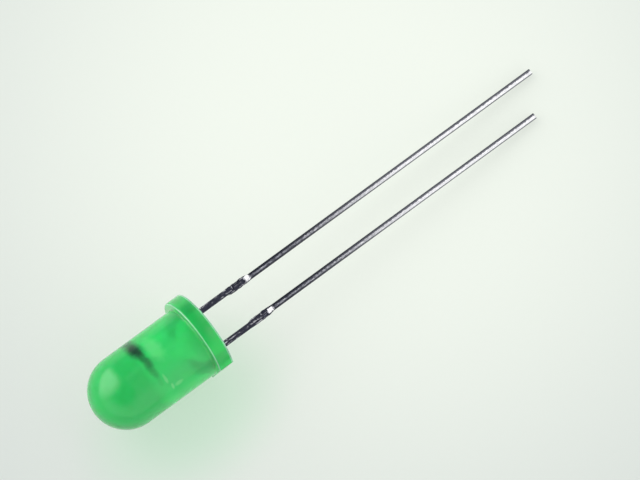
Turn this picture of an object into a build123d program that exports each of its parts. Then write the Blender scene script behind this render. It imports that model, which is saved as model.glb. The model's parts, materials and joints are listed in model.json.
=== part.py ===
"""Round through-hole LED with a green tinted, diffused lens, lying at rest on its flange and lead tips.

Everything is drawn in the LED's own frame. The seat plane lies on the rear face of the flange: its x runs
from the anode lead to the cathode lead, and its z up the lens axis to the dome. The blade plane is the middle
of the sheet that both leads are stamped from: its x is the seat's x, and its y is the height above the seat.
The seat is tilted so that the finished part lies on z = 0 with its leads towards +X.
"""

import os
from math import atan2, degrees, sqrt

from build123d import *

os.makedirs("parts", exist_ok=True)

# Lens: dome, barrel and flange, cast in one piece
lens_diameter = 4.9
barrel_length = 5.27
flange_thickness = 1.05
flange_lip = 0.49  # how far the flange stands out of the barrel
flat_lip = 0.065  # how far the flat beside the cathode stands out of the barrel
front_rounding = 0.12
meniscus_spread = 0.22  # epoxy that crept along each lead: its reach round the lead
meniscus_height = 0.3
meniscus_edge = 0.03  # its thickness where it ends on the lead

# Leads below the seat
lead_pitch = 2.54
lead_width = 0.4
sheet_thickness = 0.55
anode_length = 27.0
cathode_length = 25.5
shoulder_start = 2.85  # trimmed rest of the tie bar, measured down from the seat
shoulder_length = 1.1
shoulder_taper = 0.3
shoulder_inner = 0.09  # how far it stands out towards the other lead
shoulder_outer = 0.02
ramp_length = 0.4  # slope from the shoulder down to the shank
shank_inset = 0.06  # the shank runs this much nearer to the other lead
shank_thickness = 0.5
shank_rounding = 0.1

# Lead frame inside the lens, in steps up from the seat
knee_height = 1.35  # where the legs start to lean in
knee_rounding = 0.3
lean_rise = 1.2  # from the knee to the top of the open gap between the legs
slit_width = 0.22  # between the two leads above the gap
waist_rise = 0.4  # from the top of the gap to the waist
waist_half = 0.78  # from the lens axis to the outer edge at the waist
waist_rounding = 0.4
cup_rise = 1.05  # from the top of the gap to the foot of the cup
cup_height = 0.7
stamped_rounding = 0.06

# Cathode anvil and its reflector cup
cup_foot_radius = 0.45
cup_rim_radius = 0.62
cup_wall = 0.13
cup_depth = 0.35
cup_floor_radius = 0.27
cup_lip = 0.08  # the rim stands this far out of the anvil's top edge
ear_reach = 1.2  # from the lens axis to the anvil's outer corner
ear_drop = 0.7  # the corner lies this far below the anvil's top edge
ear_slope = 0.35  # and this far outside the end of that edge

# Anode post
post_neck_width = 0.36
post_rise = 0.6  # from the cup's rim to the top of the post
flag_height = 0.65  # the wide head of the post
flag_slope = 0.2
post_cover = 0.52  # epoxy between the head and the barrel's wall

# Chip, its paste and its wire
die_width = 0.28
die_height = 0.24
bond_line = 0.02  # paste under the chip
paste_height = 0.09
paste_lip = 0.02  # from the paste to the edge of the cup's floor
paste_slope = 0.05
wire_diameter = 0.03
ball_diameter = 0.1
ball_height = 0.05
ball_rounding = 0.02
stitch_diameter = 0.12
stitch_height = 0.04
stitch_inset = 0.3  # from the post's inner edge to the stitch
loop_rise = 0.35  # from the top of the post to the top of the wire's loop
loop_rounding = 0.25

overrun = 0.5  # how far a cut reaches past the solid that it cuts

# Radii, offsets from the lens axis and heights above the seat
lens_radius = lens_diameter / 2
flange_radius = lens_radius + flange_lip
flat_offset = lens_radius + flat_lip
dome_base = flange_thickness + barrel_length
lead_offset = lead_pitch / 2
shank_offset = lead_offset - shank_inset
shoulder_end = shoulder_start + shoulder_length
ramp_end = shoulder_end + ramp_length
gap_top = knee_height + lean_rise
waist_height = gap_top + waist_rise
cup_base = gap_top + cup_rise
cup_rim = cup_base + cup_height
cup_floor = cup_rim - cup_depth
anvil_top = cup_rim - cup_lip
post_inner = cup_rim_radius + slit_width
post_top = cup_rim + post_rise
flag_base = post_top - flag_height
flag_reach = lens_radius - post_cover
die_base = cup_floor + bond_line
die_top = die_base + die_height
loop_top = post_top + loop_rise
stitch_offset = post_inner + stitch_inset

# Rest: the rear rim of the flange and both lead tips touch the floor. The floor's normal has these parts along
# the LED's own axes: up_z up the lens axis, up_x towards the cathode and up_y across the sheet. The longer
# anode lead rolls the LED a little towards the cathode. A few rounds settle the values.
roll = (anode_length - cathode_length) / (2 * shank_offset)
tip_half_width = lead_width / 2 - shank_rounding
tip_half_thickness = shank_thickness / 2 - shank_rounding
tip_reach = cathode_length + roll * (shank_offset + tip_half_width)
up_z = 0
for _ in range(20):
    level = sqrt(1 - up_z**2)
    up_x = -roll * up_z
    up_y = sqrt(level**2 - up_x**2)
    rim_reach = (flange_radius - shank_rounding) * level - tip_half_thickness * up_y
    up_z = rim_reach / tip_reach

# The LED's axes in the part's frame, and the seat placed so that the part's box is centred on the origin
axis_dir = Vector(-level, 0, up_z)
across_x = up_z * up_x / level
across_dir = Vector(across_x, -sqrt(1 - across_x**2 - up_x**2), up_x)
sheet_dir = axis_dir.cross(across_dir)
flat_half = sqrt(flange_radius**2 - flat_offset**2)
dome_end = level * dome_base + lens_radius
lead_end = level * anode_length + abs(across_x) * shank_offset + sheet_dir.X * shank_thickness / 2
flat_end = flat_offset * abs(across_dir.Y) + flat_half * abs(sheet_dir.Y)
seat_centre = Vector(
    (dome_end - lead_end) / 2,
    (flat_end - flange_radius) / 2,
    flange_radius * level,
)
seat = Plane(origin=seat_centre, x_dir=across_dir, z_dir=axis_dir)
blade = Plane(origin=seat_centre, x_dir=across_dir, z_dir=sheet_dir * -1)
lens_axis = Axis(seat_centre, axis_dir)


def stamped_lead(side, length, head):
    """Make a lead with its shank, shoulder, leg and head, stamped from one sheet.

    side is -1 for the anode and 1 for the cathode. head lists the corners above the knee, from the outer edge
    round to the inner edge: the distance from the lens axis, the height and the corner's rounding.
    """
    outer = lead_offset + lead_width / 2
    inner = lead_offset - lead_width / 2
    shoulder_top = -(shoulder_start - shoulder_taper)
    corners = [
        (outer + shoulder_outer, -shoulder_end, 0),
        (outer + shoulder_outer, -shoulder_start, 0),
        (outer, shoulder_top, 0),
        (outer, knee_height, knee_rounding),
        *head,
        (inner, knee_height, knee_rounding),
        (inner, shoulder_top, 0),
        (inner - shoulder_inner, -shoulder_start, 0),
        (inner - shoulder_inner, -shoulder_end, 0),
    ]
    shoulder_width = lead_width + shoulder_outer + shoulder_inner
    shoulder_offset = lead_offset + (shoulder_outer - shoulder_inner) / 2
    with BuildPart() as lead:
        with BuildSketch(blade):
            with BuildLine():
                FilletPolyline(
                    [(side * offset, height) for offset, height, _ in corners],
                    radius=[rounding for _, _, rounding in corners],
                    close=True,
                )
            make_face()
        extrude(amount=sheet_thickness / 2, both=True)
        with BuildSketch(seat.offset(-shoulder_end)):
            with Locations((side * shoulder_offset, 0)):
                Rectangle(shoulder_width, sheet_thickness)
        with BuildSketch(seat.offset(-ramp_end)):
            with Locations((side * shank_offset, 0)):
                Rectangle(lead_width, shank_thickness)
        loft()
        with BuildSketch(seat.offset(-ramp_end)):
            with Locations((side * shank_offset, 0)):
                RectangleRounded(lead_width, shank_thickness, shank_rounding)
        extrude(amount=ramp_end - length)
    return lead.part


# Anode lead: its post leans out to a wide head that the wire lands on
anode_blank = stamped_lead(
    side=-1,
    length=anode_length,
    head=[
        (waist_half, waist_height, waist_rounding),
        (post_inner + post_neck_width, flag_base - flag_slope, stamped_rounding),
        (flag_reach, flag_base, stamped_rounding),
        (flag_reach, post_top, stamped_rounding),
        (post_inner, post_top, stamped_rounding),
        (post_inner, cup_base, stamped_rounding),
        (slit_width / 2, gap_top, stamped_rounding),
    ],
)
with BuildPart() as anode_lead:
    add(anode_blank)
anode_lead.part.label = "anode_lead"

# Cathode lead: its anvil carries the headed reflector cup on the lens axis
cathode_blank = stamped_lead(
    side=1,
    length=cathode_length,
    head=[
        (waist_half, waist_height, waist_rounding),
        (ear_reach, anvil_top - ear_drop, stamped_rounding),
        (ear_reach - ear_slope, anvil_top, stamped_rounding),
        (-cup_foot_radius, anvil_top, 0),
        (-cup_foot_radius, cup_base, stamped_rounding),
        (slit_width / 2, gap_top, stamped_rounding),
    ],
)
with BuildPart() as cathode_lead:
    add(cathode_blank)
    with Locations(seat.offset(cup_base)):
        Cone(cup_foot_radius, cup_rim_radius, cup_height, align=(Align.CENTER, Align.CENTER, Align.MIN))
    with Locations(seat.offset(cup_floor)):
        Cone(
            cup_floor_radius,
            cup_rim_radius - cup_wall,
            cup_depth,
            align=(Align.CENTER, Align.CENTER, Align.MIN),
            mode=Mode.SUBTRACT,
        )
cathode_lead.part.label = "cathode_lead"

# Chip on the lens axis
with BuildPart() as led_die:
    with BuildSketch(seat.offset(die_base)):
        Rectangle(die_width, die_width)
    extrude(amount=die_height)
led_die.part.label = "led_die"

# Paste that the chip sits in, on the floor of the cup
with BuildPart() as die_attach:
    paste_radius = cup_floor_radius - paste_lip
    with Locations(seat.offset(cup_floor)):
        Cone(
            paste_radius,
            paste_radius - paste_slope,
            paste_height,
            align=(Align.CENTER, Align.CENTER, Align.MIN),
        )
    add(led_die.part, mode=Mode.SUBTRACT)
die_attach.part.label = "die_attach"

# Wire with its squashed ball on the chip and its stitch on the post
with BuildPart() as bond_wire:
    with BuildSketch(seat.offset(die_top)):
        Circle(ball_diameter / 2)
    extrude(amount=ball_height)
    fillet(bond_wire.edges().group_by(lens_axis)[-1], radius=ball_rounding)
    with BuildSketch(seat.offset(post_top)):
        with Locations((-stitch_offset, 0)):
            Circle(stitch_diameter / 2)
    extrude(amount=stitch_height)
    with BuildLine(blade) as loop:
        FilletPolyline(
            (0, die_top + ball_height / 2),
            (0, loop_top),
            (-stitch_offset, post_top + stitch_height / 2),
            radius=loop_rounding,
        )
    with BuildSketch(seat.offset(die_top + ball_height / 2)):
        Circle(wire_diameter / 2)
    sweep(path=loop.line)
bond_wire.part.label = "bond_wire"

# Lens, cast round all of them
with BuildPart() as epoxy_lens:
    with BuildSketch(blade):
        with BuildLine():
            Polyline(
                (0, dome_base + lens_radius),
                (0, 0),
                (flange_radius, 0),
                (flange_radius, flange_thickness),
                (lens_radius, flange_thickness),
                (lens_radius, dome_base),
            )
            CenterArc((0, dome_base), lens_radius, 0, 90)
        make_face()
    revolve(axis=lens_axis)
    rims = epoxy_lens.edges().filter_by(GeomType.CIRCLE).group_by(SortBy.RADIUS)[-1]
    fillet(rims.sort_by(lens_axis)[-1], radius=front_rounding)
    with BuildSketch(seat.offset(-overrun)):
        with Locations((flat_offset, 0)):
            Rectangle(flange_lip + overrun, 2 * flange_radius, align=(Align.MIN, Align.CENTER))
    extrude(amount=flange_thickness + 2 * overrun, mode=Mode.SUBTRACT)
    with BuildSketch(seat):
        with Locations((-lead_offset, 0), (lead_offset, 0)):
            RectangleRounded(
                lead_width + 2 * meniscus_spread,
                sheet_thickness + 2 * meniscus_spread,
                meniscus_spread,
            )
    extrude(
        amount=-meniscus_height,
        taper=degrees(atan2(meniscus_spread - meniscus_edge, meniscus_height)),
    )
    for embedded in (anode_lead, cathode_lead, die_attach, led_die, bond_wire):
        add(embedded.part, mode=Mode.SUBTRACT)
epoxy_lens.part.label = "epoxy_lens"

export_step(epoxy_lens.part, "parts/epoxy_lens.step")
export_step(anode_lead.part, "parts/anode_lead.step")
export_step(cathode_lead.part, "parts/cathode_lead.step")
export_step(led_die.part, "parts/led_die.step")
export_step(die_attach.part, "parts/die_attach.step")
export_step(bond_wire.part, "parts/bond_wire.step")
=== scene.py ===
"""Round through-hole LED with a green diffused lens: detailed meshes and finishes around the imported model.

Lengths in the classes are millimetres in the LED's own frame: x runs from the anode lead to the cathode lead,
y across the sheet that the leads are stamped from, and z up the lens axis from the rear face of the flange.
Seat turns that frame into metres in the row frame. Everything in the studio is in the row frame.
"""

import json
import logging
import math
import random
from dataclasses import dataclass
from enum import Enum
from functools import reduce
from typing import Any

import bmesh
import bpy
from mathutils import Matrix, Vector


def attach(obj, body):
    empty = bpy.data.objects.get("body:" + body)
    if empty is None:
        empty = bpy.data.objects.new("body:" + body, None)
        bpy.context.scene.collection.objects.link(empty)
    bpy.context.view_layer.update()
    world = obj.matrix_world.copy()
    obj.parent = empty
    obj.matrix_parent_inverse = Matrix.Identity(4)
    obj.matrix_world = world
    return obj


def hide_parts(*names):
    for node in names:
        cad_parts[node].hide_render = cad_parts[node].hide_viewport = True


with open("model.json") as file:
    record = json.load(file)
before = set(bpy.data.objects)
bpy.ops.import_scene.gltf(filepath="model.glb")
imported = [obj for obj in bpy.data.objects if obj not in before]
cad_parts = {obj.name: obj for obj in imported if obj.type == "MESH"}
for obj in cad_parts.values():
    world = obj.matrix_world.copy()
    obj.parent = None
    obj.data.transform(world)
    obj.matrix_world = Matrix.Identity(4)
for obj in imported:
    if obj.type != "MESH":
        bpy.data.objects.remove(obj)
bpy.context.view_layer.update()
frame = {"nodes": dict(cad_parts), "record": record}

MM = 0.001
BODY = "root"
MERGE_DISTANCE = 1e-4
SHARP_ANGLE = math.radians(32)
log = logging.getLogger("through_hole_led")

Colour = tuple[float, float, float]
Place = tuple[float, float, float]
# A corner of an outline: its offset from the lens axis, its height and its rounding.
Corner = tuple[float, float, float]
# A fade runs from the value where a mask is empty to the value where it is full.
Fade = tuple[float, float]
# A point of a spun profile: its radius and its height.
Point = tuple[float, float]


class Slot(Enum):
    """The record's material slots for the epoxy and the steel."""

    EPOXY = "tinted_epoxy"
    STEEL = "tinned_steel"


class Side(Enum):
    """Which of the two leads: the sign of its place on the x axis."""

    ANODE = -1
    CATHODE = 1


def rgba(colour: Colour) -> tuple[float, float, float, float]:
    """Give a colour its full alpha."""
    return (*colour, 1.0)


@dataclass(frozen=True)
class Seat:
    """The LED's own frame as it lies in the row frame."""

    origin: Vector
    across: Vector
    sheet: Vector
    axis: Vector

    @classmethod
    def from_mounts(cls, mounts: dict[str, dict[str, Any]]) -> "Seat":
        """Read the frame off the record's mounts.

        Args:
            mounts: The record's mounts by name.

        Returns:
            The seat, with its origin in metres.
        """
        origin = Vector(mounts["seating_face"]["pos_m"])
        axis = Vector(mounts["lens_barrel"]["axis"]).normalized()
        rise = Vector(mounts["flange_front"]["pos_m"]) - origin
        sheet = (rise - rise.dot(axis) * axis).normalized()
        return cls(origin, sheet.cross(axis), sheet, axis)

    def turn(self) -> Matrix:
        """Give the rotation from the LED's frame to the row frame."""
        return Matrix((self.across, self.sheet, self.axis)).transposed()

    def matrix(self) -> Matrix:
        """Give the whole change from millimetres in the LED's frame to metres in the row frame."""
        return Matrix.Translation(self.origin) @ self.turn().to_4x4() @ Matrix.Scale(MM, 4)


class Graph:
    """A node tree, with short calls that add a node and wire it."""

    def __init__(self, tree: bpy.types.NodeTree) -> None:
        """Start from an empty tree."""
        self.tree = tree
        tree.nodes.clear()

    def node(self, kind: str, sockets: dict[Any, Any] | None = None, **settings: Any) -> bpy.types.Node:
        """Add a node.

        Args:
            kind: The node's type name.
            sockets: Its inputs by name or index, each a constant or an output to link.
            settings: The node's own properties.

        Returns:
            The new node.
        """
        made = self.tree.nodes.new(kind)
        for key, value in settings.items():
            setattr(made, key, value)
        for key, value in (sockets or {}).items():
            if isinstance(value, bpy.types.NodeSocket):
                self.tree.links.new(value, made.inputs[key])
            else:
                made.inputs[key].default_value = value
        return made

    def noise(self, vector: Any, scale: Any, detail: float = 2.0, roughness: float = 0.5) -> Any:
        """Add a noise texture and return its value."""
        sockets = {"Vector": vector, "Scale": scale, "Detail": detail, "Roughness": roughness}
        return self.node("ShaderNodeTexNoise", sockets).outputs["Fac"]

    def math(self, operation: str, first: Any, second: Any = 0.0) -> Any:
        """Add a math node and return its value."""
        return self.node("ShaderNodeMath", {0: first, 1: second}, operation=operation).outputs[0]

    def product(self, *values: Any) -> Any:
        """Multiply values and return the result."""
        return reduce(lambda first, second: self.math("MULTIPLY", first, second), values)

    def off(self, value: Any, place: float) -> Any:
        """Return how far a value is from a place."""
        return self.math("ABSOLUTE", self.math("SUBTRACT", value, place))

    def swing(self, mask: Any, size: float) -> Any:
        """Return a mask as a value that swings about zero."""
        return self.math("MULTIPLY", self.math("SUBTRACT", mask, 0.5), size)

    def remap(self, value: Any, low: float, high: float, to_low: float = 0.0, to_high: float = 1.0) -> Any:
        """Ease a value from one range to another and return it."""
        sockets = {"Value": value, 1: low, 2: high, 3: to_low, 4: to_high}
        return self.node("ShaderNodeMapRange", sockets, interpolation_type="SMOOTHSTEP").outputs[0]

    def fade(self, value: Any, limits: Fade, share: float = 1.0) -> Any:
        """Return a mask that is 0 at the first limit and the share at the second."""
        return self.remap(value, *limits, 0.0, share)

    def blend(self, factor: Any, first: Any, second: Any, mode: str = "MIX") -> Any:
        """Mix two colours and return the result."""
        sockets = {0: factor, 6: first, 7: second}
        return self.node("ShaderNodeMix", sockets, data_type="RGBA", blend_type=mode).outputs[2]

    def stretch(self, vector: Any, scale: Place) -> Any:
        """Scale coordinates along each axis and return them."""
        return self.node("ShaderNodeMapping", {"Vector": vector, "Scale": scale}).outputs[0]

    def length(self, vector: Any) -> Any:
        """Return a vector's length."""
        return self.node("ShaderNodeVectorMath", {0: vector}, operation="LENGTH").outputs["Value"]

    def away(self, vector: Any, place: Place, reach: Place) -> Any:
        """Return how far coordinates are from a place, counted in the reach along each axis."""
        sockets = {"Vector": vector, "Location": place, "Scale": reach}
        return self.length(self.node("ShaderNodeMapping", sockets, vector_type="TEXTURE").outputs[0])

    def bump(self, height: Any, depth: float) -> Any:
        """Turn a height into a normal. The depth is in millimetres."""
        sockets = {"Height": height, "Strength": 1.0, "Distance": depth * MM}
        return self.node("ShaderNodeBump", sockets).outputs["Normal"]


class SharedEffects:
    """Shader node groups that more than one finish uses."""

    streak_stretch: Place = (1.0, 1.0, 0.08)
    streak_detail: float = 3.0
    streak_fade: Fade = (0.5, 0.68)
    dash_stretch: Place = (1.0, 1.0, 0.35)
    dash_fade: Fade = (0.42, 0.6)
    grain: float = 0.6
    patch_fineness: float = 4.3
    patch_share: float = 0.7
    patch_fade: Fade = (0.32, 0.68)

    def __init__(self) -> None:
        """Build each group once."""
        self.scratches = self._scratches()
        self.mottle = self._mottle()

    @staticmethod
    def _group(name: str, inputs: dict[str, str], outputs: dict[str, str]) -> tuple[Graph, Any, Any]:
        """Start a node group.

        Args:
            name: The group's name.
            inputs: Socket types by name.
            outputs: Socket types by name.

        Returns:
            The group's graph, its input node and its output node.
        """
        tree = bpy.data.node_groups.new(name, "ShaderNodeTree")
        for label, kind in inputs.items():
            tree.interface.new_socket(label, in_out="INPUT", socket_type=kind)
        for label, kind in outputs.items():
            tree.interface.new_socket(label, in_out="OUTPUT", socket_type=kind)
        graph = Graph(tree)
        return graph, graph.node("NodeGroupInput"), graph.node("NodeGroupOutput")

    def _scratches(self) -> bpy.types.NodeTree:
        """Draw fine scratches along z, broken into dashes.

        Returns:
            The group, with a mask and a height.
        """
        graph, entry, end = self._group(
            "lengthwise_scratches",
            {"Vector": "NodeSocketVector", "Fineness": "NodeSocketFloat"},
            {"Mask": "NodeSocketFloat", "Height": "NodeSocketFloat"},
        )
        vector, fineness = entry.outputs["Vector"], entry.outputs["Fineness"]
        long_way = graph.stretch(vector, self.streak_stretch)
        streaks = graph.noise(long_way, fineness, self.streak_detail, self.grain)
        dashes = graph.noise(graph.stretch(vector, self.dash_stretch), fineness, roughness=self.grain)
        mask = graph.product(graph.fade(streaks, self.streak_fade), graph.fade(dashes, self.dash_fade))
        graph.tree.links.new(mask, end.inputs["Mask"])
        graph.tree.links.new(graph.math("ADD", streaks, dashes), end.inputs["Height"])
        return graph.tree

    def _mottle(self) -> bpy.types.NodeTree:
        """Make soft cloudy patches from two sizes of noise.

        Returns:
            The group, with a mask.
        """
        graph, entry, end = self._group(
            "cloudy_patches",
            {"Vector": "NodeSocketVector", "Scale": "NodeSocketFloat"},
            {"Mask": "NodeSocketFloat"},
        )
        vector, scale = entry.outputs["Vector"], entry.outputs["Scale"]
        finer = graph.math("MULTIPLY", scale, self.patch_fineness)
        broad = graph.math("MULTIPLY", graph.noise(vector, scale), self.patch_share)
        fine = graph.math("MULTIPLY", graph.noise(vector, finer, roughness=self.grain), 1 - self.patch_share)
        mask = graph.fade(graph.math("ADD", broad, fine), self.patch_fade)
        graph.tree.links.new(mask, end.inputs["Mask"])
        return graph.tree


@dataclass(frozen=True)
class Finish:
    """A finish: it makes one material in the LED's own coordinates."""

    seat: Seat
    effects: SharedEffects

    def start(self, name: str) -> tuple[bpy.types.Material, Graph, Any]:
        """Start a material.

        Args:
            name: The material's name.

        Returns:
            The material, its graph and the LED's own coordinates in millimetres.
        """
        material = bpy.data.materials.new(name)
        material.use_nodes = True
        graph = Graph(material.node_tree)
        place = graph.node("ShaderNodeTexCoord").outputs["Object"]
        turn = self.seat.turn().to_euler()
        sockets = {"Vector": place, "Location": self.seat.origin, "Rotation": turn, "Scale": (MM, MM, MM)}
        vector = graph.node("ShaderNodeMapping", sockets, vector_type="TEXTURE").outputs[0]
        return material, graph, vector

    def patches(self, graph: Graph, vector: Any, scale: float) -> Any:
        """Place the cloudy patches and return their mask."""
        sockets = {"Vector": vector, "Scale": scale}
        return graph.node("ShaderNodeGroup", sockets, node_tree=self.effects.mottle).outputs["Mask"]

    def scratches(self, graph: Graph, vector: Any, fineness: float) -> bpy.types.Node:
        """Place the lengthwise scratches and return their node."""
        sockets = {"Vector": vector, "Fineness": fineness}
        return graph.node("ShaderNodeGroup", sockets, node_tree=self.effects.scratches)

    @staticmethod
    def surface(graph: Graph, sockets: dict[str, Any]) -> None:
        """Close the material with a Principled BSDF."""
        shader = graph.node("ShaderNodeBsdfPrincipled", sockets)
        graph.node("ShaderNodeOutputMaterial", {"Surface": shader.outputs[0]})


@dataclass(frozen=True)
class Mark:
    """A soft painted patch on the milky epoxy, a painted glint or painted shade: its middle, its reach along
    each axis and its strength.
    """

    place: Place
    reach: Place
    share: float = 1.0


@dataclass(frozen=True)
class PaintedHighlightRing:
    """A painted highlight ring on the flange: its place, its width and its strength."""

    radius: float
    height: float
    width: float
    share: float = 1.0


@dataclass(frozen=True)
class DiffusedEpoxy(Finish):
    """Green tinted casting epoxy with fine pigment in it: glossy outside, milky inside."""

    light: Colour = (0.042, 0.85, 0.205)
    deep: Colour = (0.026, 0.645, 0.148)
    # Painted shade: the flange's darker tint, which turns to painted light towards the cathode.
    flange: Colour = (0.009, 0.6, 0.118)
    flange_painted_light: Colour = (0.012, 0.85, 0.158)
    # Painted shade for the post's dark head and the band across the lens.
    shaded: Colour = (0.004, 0.085, 0.034)
    # Painted glint colour for the pale marks.
    pale: Colour = (0.24, 0.97, 0.36)
    # Painted highlight colour for the barrel's foot and the flange's rims.
    edge: Colour = (0.42, 0.97, 0.56)
    transmission: float = 0.5
    roughness: float = 0.15
    ior: float = 1.52
    specular: float = 0.25
    scatter: Colour = (0.7, 1.0, 0.8)
    scatter_reach: float = 1.2
    coat: float = 0.3
    coat_roughness: float = 0.14
    coat_ior: float = 1.5
    ripple_scale: float = 1.4
    ripple_depth: float = 0.01
    cloud_scale: float = 0.5
    cloud_share: float = 0.35
    barrel_fade: Fade = (0.95, 1.15)
    dome_fade: Fade = (5.6, 4.4)
    flange_fade: Fade = (1.0, 0.9)
    flange_painted_light_fade: Fade = (-0.3, 1.6)
    # Painted shade: the anode's flank is tinted deep.
    painted_flank_shade_fade: Fade = (-1.4, -2.2)
    painted_flank_shade_share: float = 0.7
    wobble_scale: float = 2.2
    wobble: float = 0.5
    mark_fade: Fade = (1.35, 0.6)
    # Painted glints: the pale patch below the post's head, then three strokes over the anvil's ear.
    painted_glint_marks: tuple[Mark, ...] = (
        Mark((-1.1, 2.1, 3.75), (1.15, 1.5, 0.62), 0.6),
        Mark((0.88, 2.28, 4.31), (0.42, 0.8, 0.13), 0.9),
        Mark((1.56, 1.88, 3.67), (0.15, 0.8, 0.35), 0.9),
        Mark((1.5, 1.94, 4.12), (0.24, 0.7, 0.12), 0.9),
    )
    # Painted shade: the faint band across the lens, then the post's dark head at the end of it.
    painted_shade_marks: tuple[Mark, ...] = (
        Mark((-0.75, 1.6, 4.69), (2.1, 1.9, 0.37), 0.68),
        Mark((-1.58, 0.9, 4.74), (1.15, 1.9, 0.64)),
    )
    # Painted light in the corner at the barrel's foot.
    painted_foot_light_height: float = 1.1
    painted_foot_light_fade: Fade = (0.16, 0.0)
    painted_foot_light_share: float = 0.25
    painted_highlight_fade: Fade = (1.6, 0.6)
    # Painted highlights: the flange's front edge, then its rear edge.
    painted_highlight_rings: tuple[PaintedHighlightRing, ...] = (PaintedHighlightRing(2.9, 1.02, 0.03), PaintedHighlightRing(2.94, 0.06, 0.05, 0.8))

    def make(self) -> bpy.types.Material:
        """Make the material.

        Returns:
            The finished material.
        """
        material, graph, vector = self.start("diffused_epoxy")
        parts = graph.node("ShaderNodeSeparateXYZ", {"Vector": vector})
        tint = self._cast(graph, vector, parts)
        tint = self._paint_glints_and_shade(graph, vector, tint)
        tint = self._paint_light_and_highlights(graph, parts, tint)
        ripple = graph.noise(vector, self.ripple_scale)
        self.surface(graph, {
            "Base Color": tint,
            "Roughness": self.roughness,
            "IOR": self.ior,
            "Specular IOR Level": self.specular,
            "Transmission Weight": self.transmission,
            "Subsurface Weight": 1.0,
            "Subsurface Radius": self.scatter,
            "Subsurface Scale": self.scatter_reach * MM,
            "Coat Weight": self.coat,
            "Coat Roughness": self.coat_roughness,
            "Coat IOR": self.coat_ior,
            "Normal": graph.bump(ripple, self.ripple_depth),
        })
        return material

    def _cast(self, graph: Graph, vector: Any, parts: bpy.types.Node) -> Any:
        """Tint the casting: light in the barrel, deep in the dome, with painted shade on the anode's flank.

        Args:
            graph: The material's graph.
            vector: The LED's own coordinates.
            parts: The same coordinates, taken apart.

        Returns:
            The tint, with painted shade in the flange that turns to painted light towards the cathode.
        """
        x, height = parts.outputs["X"], parts.outputs["Z"]
        barrel = graph.product(graph.fade(height, self.barrel_fade), graph.fade(height, self.dome_fade))
        cloud = graph.math("MULTIPLY", self.patches(graph, vector, self.cloud_scale), self.cloud_share)
        clear = graph.math("MAXIMUM", graph.math("SUBTRACT", barrel, cloud), 0.0)
        tint = graph.blend(clear, rgba(self.deep), rgba(self.light))
        # Painted shade in the flange, turning to painted light towards the cathode.
        disc = graph.blend(graph.fade(x, self.flange_painted_light_fade), rgba(self.flange), rgba(self.flange_painted_light))
        tint = graph.blend(graph.fade(height, self.flange_fade), tint, disc)
        # Painted shade on the anode's flank.
        return graph.blend(graph.fade(x, self.painted_flank_shade_fade, self.painted_flank_shade_share), tint, rgba(self.deep))

    def _paint_glints_and_shade(self, graph: Graph, vector: Any, tint: Any) -> Any:
        """Paint on the milky epoxy: painted glints round the frame, then painted shade for the post's dark
        head.

        Args:
            graph: The material's graph.
            vector: The LED's own coordinates.
            tint: The tint so far.

        Returns:
            The tint with the marks.
        """
        uneven = graph.math("MULTIPLY", graph.noise(vector, self.wobble_scale), self.wobble)
        for marks, colour in ((self.painted_glint_marks, self.pale), (self.painted_shade_marks, self.shaded)):
            for mark in marks:
                away = graph.math("ADD", graph.away(vector, mark.place, mark.reach), uneven)
                tint = graph.blend(graph.fade(away, self.mark_fade, mark.share), tint, rgba(colour))
        return tint

    def _paint_light_and_highlights(self, graph: Graph, parts: bpy.types.Node, tint: Any) -> Any:
        """Paint light in the corner at the barrel's foot and painted highlights on the edges of the flange.

        Args:
            graph: The material's graph.
            parts: The LED's own coordinates, taken apart.
            tint: The tint so far.

        Returns:
            The tint with the painted light and highlights.
        """
        x, y, height = (parts.outputs[key] for key in "XYZ")
        # Painted light in the corner at the barrel's foot.
        corner = graph.fade(graph.off(height, self.painted_foot_light_height), self.painted_foot_light_fade, self.painted_foot_light_share)
        tint = graph.blend(corner, tint, rgba(self.edge))
        flat = graph.node("ShaderNodeCombineXYZ", {"X": x, "Y": y}).outputs[0]
        radius = graph.length(flat)
        wide, narrow = self.painted_highlight_fade
        # Painted highlights along the flange's rims.
        for lit in self.painted_highlight_rings:
            away = graph.math("MAXIMUM", graph.off(radius, lit.radius), graph.off(height, lit.height))
            mask = graph.fade(away, (wide * lit.width, narrow * lit.width), lit.share)
            tint = graph.blend(mask, tint, rgba(self.edge))
        return tint


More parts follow.
